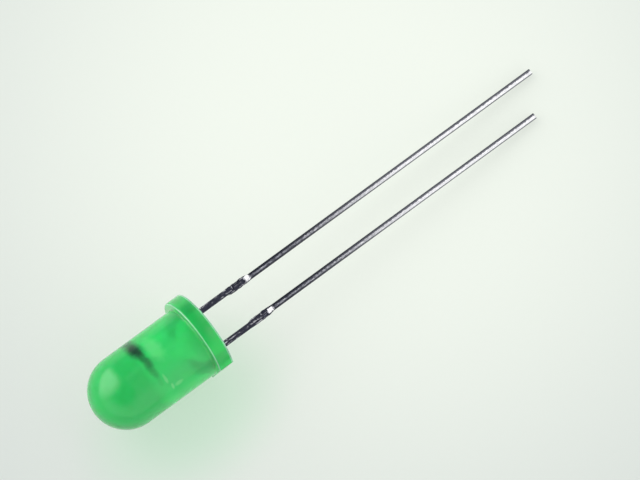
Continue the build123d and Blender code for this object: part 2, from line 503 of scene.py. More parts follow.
@dataclass(frozen=True)
class TinnedSteel(Finish):
    """Tin-plated sheet steel: dark and scratched by the lens, bright on the shanks, matt inside the lens,
    with painted shade on the edges and on the post's head and a painted highlight on the ramp.
    """

    bright: Colour = (0.94, 0.94, 0.95)
    dull: Colour = (0.05, 0.052, 0.075)
    shank: Colour = (0.33, 0.34, 0.38)
    # Painted shade along the edges of the shanks.
    painted_edge_shade: Colour = (0.16, 0.162, 0.185)
    pitted: Colour = (0.03, 0.031, 0.045)
    # Painted shade on the post's head.
    painted_head_shade: Colour = (0.02, 0.024, 0.026)
    plated: Colour = (0.80, 0.80, 0.77)
    plating_fade: Fade = (1.9, 2.4)
    head_rise: Fade = (3.7, 4.2)
    head_side: Fade = (0.2, -0.7)
    roughness: float = 0.13
    patch_roughness: float = 0.1
    inside_roughness: float = 0.25
    inside_fade: Fade = (-0.15, 0.15)
    fineness: float = 16.0
    scratch_depth: float = 0.002
    speckle_scale: float = 9.0
    speckle_stretch: Place = (1.0, 1.0, 0.5)
    dull_pitting: float = 0.6
    near_pitting: float = 0.9
    far_pitting: float = 0.12
    nick_scale: float = 4.5
    nick_stretch: Place = (0.5, 1.0, 1.6)
    nick_detail: float = 1.0
    nick_fade: Fade = (0.7, 0.74)
    fleck_fade: Fade = (0.0, -0.4)
    ramp_start: float = -3.93
    ramp_end: float = -4.4
    ramp_blur: float = 0.08
    ramp_overlap: float = 0.02
    ramp_offset: float = 1.23
    ramp_fade: Fade = (0.2, 0.12)
    unevenness: float = 0.16
    shank_bright: float = -18.0
    shank_offset: float = 1.21
    shade_ragged_scale: float = 12.0
    shade_ragged_stretch: Place = (1.0, 1.0, 0.4)
    shade_ragged_grain: float = 0.6
    raggedness: float = 0.16
    # Painted shade along the shank edges: a wide ragged band on one side, a thin line on the other.
    wide_shade_fade: Fade = (-0.02, -0.05)
    wide_shade_share: float = 0.97
    thin_shade_fade: Fade = (0.06, 0.09)
    thin_shade_share: float = 0.95
    thin_shade_shift: float = 0.06

    def make(self) -> bpy.types.Material:
        """Make the material.

        Returns:
            The finished material.
        """
        material, graph, vector = self.start("tinned_steel")
        parts = graph.node("ShaderNodeSeparateXYZ", {"Vector": vector})
        x, height = parts.outputs["X"], parts.outputs["Z"]
        scratch = self.scratches(graph, vector, self.fineness)
        speckle = self.patches(graph, graph.stretch(vector, self.speckle_stretch), self.speckle_scale)
        colour = self._shoulder(graph, vector, height, scratch.outputs["Mask"], speckle)
        drawn = self._shank(graph, vector, parts, scratch.outputs["Mask"], speckle)
        colour = graph.blend(graph.fade(height, (self.ramp_start, self.ramp_end)), colour, drawn)
        # Painted highlight: the bright colour in a spot on the ramp.
        colour = graph.blend(self._ramp_highlight_mask(graph, x, height, speckle), colour, rgba(self.bright))
        colour = graph.blend(graph.fade(height, self.plating_fade), colour, rgba(self.plated))
        # Painted shade on the post's head.
        head = graph.product(graph.fade(height, self.head_rise), graph.fade(x, self.head_side))
        colour = graph.blend(head, colour, rgba(self.painted_head_shade))
        rough = graph.math("ADD", self.roughness, graph.math("MULTIPLY", speckle, self.patch_roughness))
        rough = graph.math("ADD", rough, graph.fade(height, self.inside_fade, self.inside_roughness))
        self.surface(graph, {
            "Base Color": colour,
            "Metallic": 1.0,
            "Roughness": rough,
            "Normal": graph.bump(scratch.outputs["Height"], self.scratch_depth),
        })
        return material

    def _shoulder(self, graph: Graph, vector: Any, height: Any, scratch: Any, speckle: Any) -> Any:
        """Colour the dark part by the lens.

        Args:
            graph: The material's graph.
            vector: The LED's own coordinates.
            height: The height in those coordinates.
            scratch: The mask of the scratches.
            speckle: The mask of the patches.

        Returns:
            A dark, pitted colour with bright flecks below the lens.
        """
        pits = graph.math("MULTIPLY", speckle, self.dull_pitting)
        colour = graph.blend(pits, rgba(self.dull), rgba(self.pitted))
        nicks = graph.noise(graph.stretch(vector, self.nick_stretch), self.nick_scale, self.nick_detail)
        flecks = graph.math("MAXIMUM", scratch, graph.fade(nicks, self.nick_fade))
        flecks = graph.math("MULTIPLY", flecks, graph.fade(height, self.fleck_fade))
        return graph.blend(flecks, colour, rgba(self.bright))

    def _shank(self, graph: Graph, vector: Any, parts: bpy.types.Node, scratch: Any, speckle: Any) -> Any:
        """Colour the shank.

        Args:
            graph: The material's graph.
            vector: The LED's own coordinates.
            parts: The same coordinates, taken apart.
            scratch: The mask of the scratches.
            speckle: The mask of the patches.

        Returns:
            A grey colour that brightens towards the tip, between bands of painted edge shade.
        """
        towards_tip = graph.fade(parts.outputs["Z"], (self.ramp_end, self.shank_bright))
        pitting = graph.remap(towards_tip, 0.0, 1.0, self.near_pitting, self.far_pitting)
        drawn = graph.blend(towards_tip, rgba(self.shank), rgba(self.bright))
        drawn = graph.blend(graph.math("MULTIPLY", speckle, pitting), drawn, rgba(self.pitted))
        drawn = graph.blend(scratch, drawn, rgba(self.bright))
        # Painted shade along both edges, darker near the lens.
        painted_edge_shade = graph.blend(towards_tip, rgba(self.pitted), rgba(self.painted_edge_shade))
        return graph.blend(self._painted_edge_shade_mask(graph, vector, parts.outputs["X"], towards_tip), drawn, painted_edge_shade)

    def _ramp_highlight_mask(self, graph: Graph, x: Any, height: Any, speckle: Any) -> Any:
        """Mask the painted highlight on the ramp below the shoulder.

        Args:
            graph: The material's graph.
            x: The place across both leads.
            height: The height in the LED's own coordinates.
            speckle: The mask of the patches, which makes the spot uneven.

        Returns:
            The mask.
        """
        uneven = graph.swing(speckle, self.unevenness)
        place = graph.math("ADD", height, uneven)
        upper = graph.fade(place, (self.ramp_start, self.ramp_start - self.ramp_blur))
        lower = graph.fade(place, (self.ramp_end - self.ramp_overlap, self.ramp_end + self.ramp_blur))
        off = graph.off(graph.math("ABSOLUTE", x), self.ramp_offset)
        middle = graph.fade(graph.math("ADD", off, uneven), self.ramp_fade)
        return graph.product(upper, lower, middle)

    def _painted_edge_shade_mask(self, graph: Graph, vector: Any, x: Any, towards_tip: Any) -> Any:
        """Mask the painted shade along the edges of the shanks.

        Args:
            graph: The material's graph.
            vector: The LED's own coordinates.
            x: The place across both leads.
            towards_tip: How far down the shank, from the ramp to where it is bright.

        Returns:
            The mask: a wide ragged band of painted shade on one side, a thin line on the other.
        """
        side = graph.math("SUBTRACT", graph.math("ABSOLUTE", x), self.shank_offset)
        side = graph.math("MULTIPLY", side, graph.math("SIGN", x))
        along = graph.stretch(vector, self.shade_ragged_stretch)
        tears = graph.noise(along, self.shade_ragged_scale, roughness=self.shade_ragged_grain)
        ragged = graph.math("ADD", side, graph.swing(tears, self.raggedness))
        wide_shade = graph.fade(ragged, self.wide_shade_fade, self.wide_shade_share)
        inner = graph.math("SUBTRACT", side, graph.fade(towards_tip, (0.0, 1.0), self.thin_shade_shift))
        return graph.math("MAXIMUM", wide_shade, graph.fade(inner, self.thin_shade_fade, self.thin_shade_share))


@dataclass(frozen=True)
class SawnCrystal(Finish):
    """The chip: an amber crystal with sawn sides."""

    light: Colour = (0.80, 0.62, 0.18)
    dark: Colour = (0.62, 0.42, 0.10)
    patch_scale: float = 6.0
    saw_fineness: float = 40.0
    saw_depth: float = 0.001
    roughness: float = 0.25
    ior: float = 2.4

    def make(self) -> bpy.types.Material:
        """Make the material.

        Returns:
            The finished material.
        """
        material, graph, vector = self.start("sawn_crystal")
        patches = self.patches(graph, vector, self.patch_scale)
        saw = self.scratches(graph, vector, self.saw_fineness)
        self.surface(graph, {
            "Base Color": graph.blend(patches, rgba(self.light), rgba(self.dark)),
            "Roughness": self.roughness,
            "IOR": self.ior,
            "Normal": graph.bump(saw.outputs["Height"], self.saw_depth),
        })
        return material


@dataclass(frozen=True)
class SilverPaste(Finish):
    """Cured silver-filled paste: matt and flaky."""

    light: Colour = (0.78, 0.78, 0.76)
    dark: Colour = (0.52, 0.52, 0.52)
    flake_scale: float = 14.0
    flake_depth: float = 0.004
    metallic: float = 0.8
    roughness: float = 0.55

    def make(self) -> bpy.types.Material:
        """Make the material.

        Returns:
            The finished material.
        """
        material, graph, vector = self.start("silver_paste")
        flakes = self.patches(graph, vector, self.flake_scale)
        self.surface(graph, {
            "Base Color": graph.blend(flakes, rgba(self.light), rgba(self.dark)),
            "Metallic": self.metallic,
            "Roughness": self.roughness,
            "Normal": graph.bump(flakes, self.flake_depth),
        })
        return material


@dataclass(frozen=True)
class GoldWire(Finish):
    """Drawn gold wire with faint die marks."""

    light: Colour = (0.98, 0.74, 0.32)
    dark: Colour = (0.80, 0.55, 0.20)
    fineness: float = 60.0
    mark_depth: float = 0.001
    roughness: float = 0.2

    def make(self) -> bpy.types.Material:
        """Make the material.

        Returns:
            The finished material.
        """
        material, graph, vector = self.start("gold_wire")
        marks = self.scratches(graph, vector, self.fineness)
        self.surface(graph, {
            "Base Color": graph.blend(marks.outputs["Mask"], rgba(self.light), rgba(self.dark)),
            "Metallic": 1.0,
            "Roughness": self.roughness,
            "Normal": graph.bump(marks.outputs["Height"], self.mark_depth),
        })
        return material


class Mesher:
    """Shapes a bmesh in the LED's own frame and turns it into a finished piece."""

    def __init__(self, seat: Seat) -> None:
        """Keep the frame that every piece is placed with."""
        self.seat = seat

    def piece(self, shape: bmesh.types.BMesh, name: str) -> bpy.types.Object:
        """Place a shape and make its object.

        Args:
            shape: The closed shape, in millimetres. It is freed.
            name: The new object's name.

        Returns:
            The object, at the origin, with its place in its mesh.
        """
        bmesh.ops.remove_doubles(shape, verts=shape.verts, dist=MERGE_DISTANCE)
        bmesh.ops.recalc_face_normals(shape, faces=shape.faces)
        shape.transform(self.seat.matrix())
        for face in shape.faces:
            face.smooth = True
        for edge in shape.edges:
            edge.smooth = edge.calc_face_angle(math.pi) < SHARP_ANGLE
        mesh = bpy.data.meshes.new(name)
        shape.to_mesh(mesh)
        shape.free()
        made = bpy.data.objects.new(name, mesh)
        bpy.context.scene.collection.objects.link(made)
        return made

    def unite(self, target: bpy.types.Object, added: bpy.types.Object) -> None:
        """Melt one piece into another.

        Args:
            target: The piece that stays.
            added: The piece that becomes part of it. It is removed.
        """
        union = target.modifiers.new("union", "BOOLEAN")
        union.operation = "UNION"
        union.solver = "EXACT"
        union.object = added
        graph = bpy.context.evaluated_depsgraph_get()
        melted = bpy.data.meshes.new_from_object(target.evaluated_get(graph))
        target.modifiers.clear()
        old = target.data
        melted.name = old.name
        target.data = melted
        bpy.data.meshes.remove(old)
        bpy.data.objects.remove(added)

    @staticmethod
    def even_shading(piece: bpy.types.Object) -> None:
        """Let the large faces set the normals, so that small roundings blend into them."""
        weighted = piece.modifiers.new("even shading", "WEIGHTED_NORMAL")
        weighted.keep_sharp = True

    @staticmethod
    def trace(shape: bmesh.types.BMesh, start: bmesh.types.BMVert, points: tuple[Point, ...]) -> None:
        """Draw a profile on from a vertex.

        Args:
            shape: The shape that the profile is in.
            start: The vertex to go on from.
            points: The points that follow.
        """
        last = start
        for radius, height in points:
            last = bmesh.ops.extrude_vert_indiv(shape, verts=[last])["verts"][0]
            last.co = (radius, 0, height)

    @staticmethod
    def revolve(shape: bmesh.types.BMesh, turns: int) -> None:
        """Spin a profile all the way round the lens axis."""
        bmesh.ops.spin(
            shape, geom=shape.verts[:] + shape.edges[:], cent=(0, 0, 0), axis=(0, 0, 1),
            angle=2 * math.pi, steps=turns, use_merge=True,
        )

    @staticmethod
    def round_off(
        shape: bmesh.types.BMesh, geom: list[Any], rounding: float, steps: int,
        affect: str = "EDGES", clamp: bool = False,
    ) -> None:
        """Round edges or corners.

        Args:
            shape: The shape that they are in.
            geom: The edges, or the vertices at the corners.
            rounding: How far the rounding starts from them.
            steps: How many faces make it up.
            affect: EDGES or VERTICES.
            clamp: Whether roundings that meet hold each other back.
        """
        bmesh.ops.bevel(
            shape, geom=geom, offset=rounding, offset_type="OFFSET", segments=steps, profile=0.5,
            affect=affect, material=-1, clamp_overlap=clamp,
        )


@dataclass
class Lens:
    """Dome, barrel and flange, cast in one piece."""

    mesher: Mesher
    radius: float
    barrel_length: float
    flange_thickness: float
    flange_lip: float = 0.49
    flat_lip: float = 0.065
    front_rounding: float = 0.12
    front_steps: int = 6
    corner_rounding: float = 0.05
    corner_steps: int = 4
    rear_rounding: float = 0.04
    rear_steps: int = 3
    meniscus_spread: float = 0.22
    meniscus_height: float = 0.3
    meniscus_edge: float = 0.03
    meniscus_steps: int = 5
    meniscus_corner_steps: int = 5
    turns: int = 144
    arc_steps: int = 28

    def build(self, leads: "LeadFrame") -> bpy.types.Object:
        """Build the lens with the epoxy that crept along each lead.

        Args:
            leads: The leads that come out of its rear face.

        Returns:
            The finished piece.
        """
        shape = self._casting()
        for side in Side:
            self._take_in(shape, self._meniscus(side, leads))
        rims = [edge for edge in shape.edges if edge.is_boundary]
        bmesh.ops.triangle_fill(shape, use_beauty=True, edges=rims, normal=(0, 0, -1))
        lens = self.mesher.piece(shape, "lens_casting")
        self.mesher.even_shading(lens)
        return lens

    @staticmethod
    def _take_in(shape: bmesh.types.BMesh, added: bmesh.types.BMesh) -> None:
        """Copy one shape into another.

        Args:
            shape: The shape that stays.
            added: The shape that is copied. It is freed.
        """
        mesh = bpy.data.meshes.new("taken_in")
        added.to_mesh(mesh)
        added.free()
        shape.from_mesh(mesh)
        bpy.data.meshes.remove(mesh)

    def _casting(self) -> bmesh.types.BMesh:
        """Spin the profile, round its rims, cut the flat and open the rear face.

        Returns:
            A shape that is open at the rear.
        """
        dome_base = self.flange_thickness + self.barrel_length
        flange_radius = self.radius + self.flange_lip
        shape = bmesh.new()
        start = shape.verts.new((self.radius, 0, dome_base))
        bmesh.ops.spin(
            shape, geom=[start], cent=(0, 0, dome_base), axis=(0, -1, 0),
            angle=math.pi / 2, steps=self.arc_steps,
        )
        self.mesher.trace(shape, start, (
            (self.radius, self.flange_thickness),
            (flange_radius, self.flange_thickness),
            (flange_radius, 0),
            (0, 0),
        ))
        self.mesher.revolve(shape, self.turns)
        bmesh.ops.remove_doubles(shape, verts=shape.verts, dist=MERGE_DISTANCE)
        bmesh.ops.recalc_face_normals(shape, faces=shape.faces)
        rings = (
            (flange_radius, self.flange_thickness, self.front_rounding, self.front_steps),
            (self.radius, self.flange_thickness, self.corner_rounding, self.corner_steps),
            (flange_radius, 0, self.rear_rounding, self.rear_steps),
        )
        for radius, height, rounding, steps in rings:
            self.mesher.round_off(shape, self._ring(shape, radius, height), rounding, steps, clamp=True)
        bmesh.ops.bisect_plane(
            shape, geom=shape.verts[:] + shape.edges[:] + shape.faces[:], dist=MERGE_DISTANCE,
            plane_co=(self.radius + self.flat_lip, 0, 0), plane_no=(1, 0, 0), clear_outer=True,
        )
        rim = [edge for edge in shape.edges if edge.is_boundary]
        bmesh.ops.holes_fill(shape, edges=rim, sides=0)
        rear = [face for face in shape.faces if all(abs(vert.co.z) < MERGE_DISTANCE for vert in face.verts)]
        bmesh.ops.delete(shape, geom=rear, context="FACES")
        return shape

    @staticmethod
    def _ring(shape: bmesh.types.BMesh, radius: float, height: float) -> list[bmesh.types.BMEdge]:
        """Find a ring of edges.

        Args:
            shape: The spun shape.
            radius: The ring's radius.
            height: Its height on the lens axis.

        Returns:
            The edges.
        """
        def on_ring(vert: bmesh.types.BMVert) -> bool:
            """Tell whether a vertex lies on the ring."""
            off = math.hypot(vert.co.x, vert.co.y) - radius
            return abs(off) < MERGE_DISTANCE and abs(vert.co.z - height) < MERGE_DISTANCE

        return [edge for edge in shape.edges if all(on_ring(vert) for vert in edge.verts)]

    def _meniscus(self, side: Side, leads: "LeadFrame") -> bmesh.types.BMesh:
        """Make the hollow-sided skirt of epoxy round one lead.

        Args:
            side: Which lead it is on.
            leads: The leads' sizes.

        Returns:
            A shape that is open where it meets the flange's rear face.
        """
        shape = bmesh.new()
        bmesh.ops.create_grid(shape, x_segments=1, y_segments=1, size=0.5)
        spread = 2 * self.meniscus_spread
        size = (leads.lead_width + spread, leads.sheet_thickness + spread, 1)
        bmesh.ops.scale(shape, vec=size, verts=shape.verts)
        corners = shape.verts[:]
        self.mesher.round_off(shape, corners, self.meniscus_spread, self.meniscus_corner_steps, "VERTICES")
        level = 0.0
        narrowing = 2 * (self.meniscus_spread - self.meniscus_edge)
        width, depth, _ = size
        face = shape.faces[:]
        for step in range(1, self.meniscus_steps + 1):
            turn = math.pi / 2 * step / self.meniscus_steps
            new_level = -self.meniscus_height * (1 - math.cos(turn))
            new_width = size[0] - narrowing * math.sin(turn)
            new_depth = size[1] - narrowing * math.sin(turn)
            grown = bmesh.ops.extrude_face_region(shape, geom=face)["geom"]
            bmesh.ops.delete(shape, geom=face, context="FACES_ONLY")
            face = [item for item in grown if isinstance(item, bmesh.types.BMFace)]
            verts = list({vert for item in face for vert in item.verts})
            bmesh.ops.translate(shape, vec=(0, 0, new_level - level), verts=verts)
            bmesh.ops.scale(shape, vec=(new_width / width, new_depth / depth, 1), verts=verts)
            level, width, depth = new_level, new_width, new_depth
        bmesh.ops.translate(shape, vec=(side.value * leads.lead_pitch / 2, 0, 0), verts=shape.verts)
        return shape


@dataclass
class LeadFrame:
    """Both leads, stamped from one sheet, with the cup headed on the cathode's anvil."""

    mesher: Mesher
    lead_pitch: float = 2.54
    lead_width: float = 0.4
    sheet_thickness: float = 0.55
    anode_length: float = 27.0
    cathode_length: float = 25.5
    shoulder_start: float = 2.85
    shoulder_length: float = 1.1
    shoulder_taper: float = 0.3
    shoulder_inner: float = 0.09
    shoulder_outer: float = 0.02
    ramp_length: float = 0.4
    shank_inset: float = 0.06
    shank_thickness: float = 0.5
    shank_rounding: float = 0.1
    shank_steps: int = 5
    knee_height: float = 1.35
    knee_rounding: float = 0.3
    gap_top: float = 2.55
    slit_width: float = 0.22
    waist_height: float = 2.95
    waist_half: float = 0.78
    waist_rounding: float = 0.4
    cup_base: float = 3.6
    cup_rim: float = 4.3
    cup_floor: float = 3.95
    cup_foot_radius: float = 0.45
    cup_rim_radius: float = 0.62
    cup_wall: float = 0.13
    cup_floor_radius: float = 0.27
    cup_lip: float = 0.08
    cup_turns: int = 48
    ear_reach: float = 1.2
    ear_drop: float = 0.7
    ear_slope: float = 0.35
    post_inner: float = 0.84
    post_neck_width: float = 0.36
    post_top: float = 4.9
    flag_height: float = 0.65
    flag_slope: float = 0.2
    flag_reach: float = 1.93
    stamped_rounding: float = 0.06
    corner_steps: int = 4
    edge_rounding: float = 0.03
    edge_steps: int = 2
    tears: int = 9
    tear_depth: float = 0.03
    tear_inward: float = 1.0
    tear_outward: float = 0.6
    seed: int = 7

    def build(self, side: Side) -> bpy.types.Object:
        """Build one lead.

        Args:
            side: Which lead.

        Returns:
            The finished piece.
        """
        heads = {Side.ANODE: self._post_head, Side.CATHODE: self._anvil_head}
        lengths = {Side.ANODE: self.anode_length, Side.CATHODE: self.cathode_length}
        shape = self._stamping(side, lengths[side], heads[side]())
        lead = self.mesher.piece(shape, f"{side.name.lower()}_stamping")
        if side is Side.CATHODE:
            self.mesher.unite(lead, self.mesher.piece(self._cup(), "reflector_cup"))
        self.mesher.even_shading(lead)
        return lead

    def _post_head(self) -> list[Corner]:
        """List the anode's corners above the knee.

        Returns:
            The corners from the outer side to the inner one.
        """
        flag_base = self.post_top - self.flag_height
        return [
            (self.waist_half, self.waist_height, self.waist_rounding),
            (self.post_inner + self.post_neck_width, flag_base - self.flag_slope, self.stamped_rounding),
            (self.flag_reach, flag_base, self.stamped_rounding),
            (self.flag_reach, self.post_top, self.stamped_rounding),
            (self.post_inner, self.post_top, self.stamped_rounding),
            (self.post_inner, self.cup_base, self.stamped_rounding),
            (self.slit_width / 2, self.gap_top, self.stamped_rounding),
        ]

    def _anvil_head(self) -> list[Corner]:
        """List the cathode's corners above the knee.

        Returns:
            The corners from the outer side to the inner one, with a notch that the cup fills.
        """
        anvil_top = self.cup_rim - self.cup_lip
        wall_middle = self.cup_rim_radius - self.cup_wall / 2
        floor_middle = (self.cup_floor_radius + self.cup_rim_radius) / 2
        notch_floor = self.cup_floor - self.cup_lip
        return [
            (self.waist_half, self.waist_height, self.waist_rounding),
            (self.ear_reach, anvil_top - self.ear_drop, self.stamped_rounding),
            (self.ear_reach - self.ear_slope, anvil_top, self.stamped_rounding),
            (wall_middle, anvil_top, 0),
            (floor_middle, notch_floor, 0),
            (-self.cup_foot_radius, notch_floor, 0),
            (-self.cup_foot_radius, self.cup_base, self.stamped_rounding),
            (self.slit_width / 2, self.gap_top, self.stamped_rounding),
        ]

    def _corners(self, head: list[Corner], shoulder_end: float) -> list[Corner]:
        """List the corners of the whole blade.

        Args:
            head: The corners above the knee.
            shoulder_end: How far below the flange the shoulder ends.

        Returns:
            The corners, from the outer end of the shoulder round to its inner end.
        """
        outer = (self.lead_pitch + self.lead_width) / 2
        inner = (self.lead_pitch - self.lead_width) / 2
        shoulder_top = self.shoulder_taper - self.shoulder_start
        return [
            (outer + self.shoulder_outer, -shoulder_end, 0),
            (outer + self.shoulder_outer, -self.shoulder_start, 0),
            (outer, shoulder_top, 0),
            (outer, self.knee_height, self.knee_rounding),
            *head,
            (inner, self.knee_height, self.knee_rounding),
            (inner, shoulder_top, 0),
            (inner - self.shoulder_inner, -self.shoulder_start, 0),
            (inner - self.shoulder_inner, -shoulder_end, 0),
        ]

    def _stamping(self, side: Side, length: float, head: list[Corner]) -> bmesh.types.BMesh:
        """Stamp the blade, tear its trimmed shoulder, and draw the ramp and the shank out of it.

        Args:
            side: Which lead.
            length: From the rear face of the flange to the tip.
            head: The corners above the knee.

        Returns:
            A closed shape.
        """
        shape = bmesh.new()
        shoulder_end = self.shoulder_start + self.shoulder_length
        corners = self._corners(head, shoulder_end)
        back = -self.sheet_thickness / 2
        outline = [shape.verts.new((side.value * x, back, z)) for x, z, _ in corners]
        shape.faces.new(outline)
        trimmed = [shape.edges.get(outline[:2]), shape.edges.get(outline[-2:])]
        bmesh.ops.subdivide_edges(shape, edges=trimmed, cuts=self.tears)
        for x, z, rounding in corners:
            if rounding:
                self._round_corner(shape, Vector((side.value * x, back, z)), rounding)
        blade = bmesh.ops.extrude_face_region(shape, geom=shape.faces[:])["geom"]
        front = [item for item in blade if isinstance(item, bmesh.types.BMVert)]
        bmesh.ops.translate(shape, vec=(0, self.sheet_thickness, 0), verts=front)
        self._tear(shape, side, shoulder_end)
        bmesh.ops.recalc_face_normals(shape, faces=shape.faces)
        shoulder_width = self.lead_width + self.shoulder_outer + self.shoulder_inner
        narrow = (self.lead_width / shoulder_width, self.shank_thickness / self.sheet_thickness)
        centre = side.value * (self.lead_pitch / 2 - self.shank_inset)
        self._draw(shape, -shoulder_end, self.ramp_length, narrow, centre)
        ramp_end = -shoulder_end - self.ramp_length
        self._draw(shape, ramp_end, length + ramp_end, (1, 1), centre)
        self._round_edges(shape, ramp_end, length)
        return shape

    def _round_corner(self, shape: bmesh.types.BMesh, place: Vector, rounding: float) -> None:
        """Round a corner of the outline.

        Args:
            shape: The outline's face.
            place: Where the corner is.
            rounding: The radius of the rounding.
        """
        vert = min(shape.verts, key=lambda item: (item.co - place).length)
        arms = [edge.other_vert(vert).co - vert.co for edge in vert.link_edges]
        offset = rounding / math.tan(arms[0].angle(arms[1]) / 2)
        self.mesher.round_off(shape, [vert], offset, self.corner_steps, "VERTICES")

    def _tear(self, shape: bmesh.types.BMesh, side: Side, shoulder_end: float) -> None:
        """Roughen the trimmed faces of the shoulder.

        Args:
            shape: The blade.
            side: Which lead.
            shoulder_end: How far below the flange the shoulder ends.
        """
        dice = random.Random(self.seed * side.value)
        centre = side.value * self.lead_pitch / 2
        low, high = -shoulder_end + MERGE_DISTANCE, -self.shoulder_start - MERGE_DISTANCE
        for vert in sorted(shape.verts, key=lambda item: tuple(item.co)):
            if low < vert.co.z < high:
                depth = dice.uniform(-self.tear_inward, self.tear_outward) * self.tear_depth
                vert.co.x += math.copysign(depth, depth * (vert.co.x - centre))
                vert.co.z += dice.uniform(-1, 1) * self.tear_depth

    @staticmethod
    def _draw(
        shape: bmesh.types.BMesh, height: float, reach: float, narrow: tuple[float, float], centre: float
    ) -> None:
        """Draw the face at a height further down.

        Args:
            shape: The lead so far.
            height: Where the face lies.
            reach: How far it moves down.
            narrow: How much of its width and thickness it keeps.
            centre: Where its middle ends up on x.
        """
        end = [face for face in shape.faces if all(abs(v.co.z - height) < MERGE_DISTANCE for v in face.verts)]
        drawn = bmesh.ops.extrude_face_region(shape, geom=end)["geom"]
        verts = [item for item in drawn if isinstance(item, bmesh.types.BMVert)]
        bmesh.ops.delete(shape, geom=end, context="FACES_ONLY")
        middle = sum((vert.co for vert in verts), Vector()) / len(verts)
        bmesh.ops.scale(shape, vec=(*narrow, 1), verts=verts, space=Matrix.Translation(-middle))
        bmesh.ops.translate(shape, vec=(centre - middle.x, 0, -reach), verts=verts)

    def _round_edges(self, shape: bmesh.types.BMesh, ramp_end: float, length: float) -> None:
        """Round the shank's long edges, then take the bite off the stamped ones.

        Args:
            shape: The whole lead.
            ramp_end: The height where the shank starts.
            length: From the rear face of the flange to the tip.
        """
        def spans(edge: bmesh.types.BMEdge, low: float, high: float) -> bool:
            """Tell whether an edge runs from one height to another."""
            heights = sorted(vert.co.z for vert in edge.verts)
            return abs(heights[0] - low) < MERGE_DISTANCE and abs(heights[1] - high) < MERGE_DISTANCE

        shank = [edge for edge in shape.edges if spans(edge, -length, ramp_end)]
        self.mesher.round_off(shape, shank, self.shank_rounding, self.shank_steps)
        face_height = self.sheet_thickness / 2 - MERGE_DISTANCE
        stamped = [
            edge for edge in shape.edges
            if all(abs(vert.co.y) > face_height for vert in edge.verts)
            and edge.calc_face_angle(0) > SHARP_ANGLE
        ]
        self.mesher.round_off(shape, stamped, self.edge_rounding, self.edge_steps)

    def _cup(self) -> bmesh.types.BMesh:
        """Spin the headed reflector cup.

        Returns:
            A closed shape.
        """
        shape = bmesh.new()
        start = shape.verts.new((0, 0, self.cup_base))
        self.mesher.trace(shape, start, (
            (self.cup_foot_radius, self.cup_base),
            (self.cup_rim_radius, self.cup_rim),
            (self.cup_rim_radius - self.cup_wall, self.cup_rim),
            (self.cup_floor_radius, self.cup_floor),
            (0, self.cup_floor),
        ))
        self.mesher.revolve(shape, self.cup_turns)
        return shape


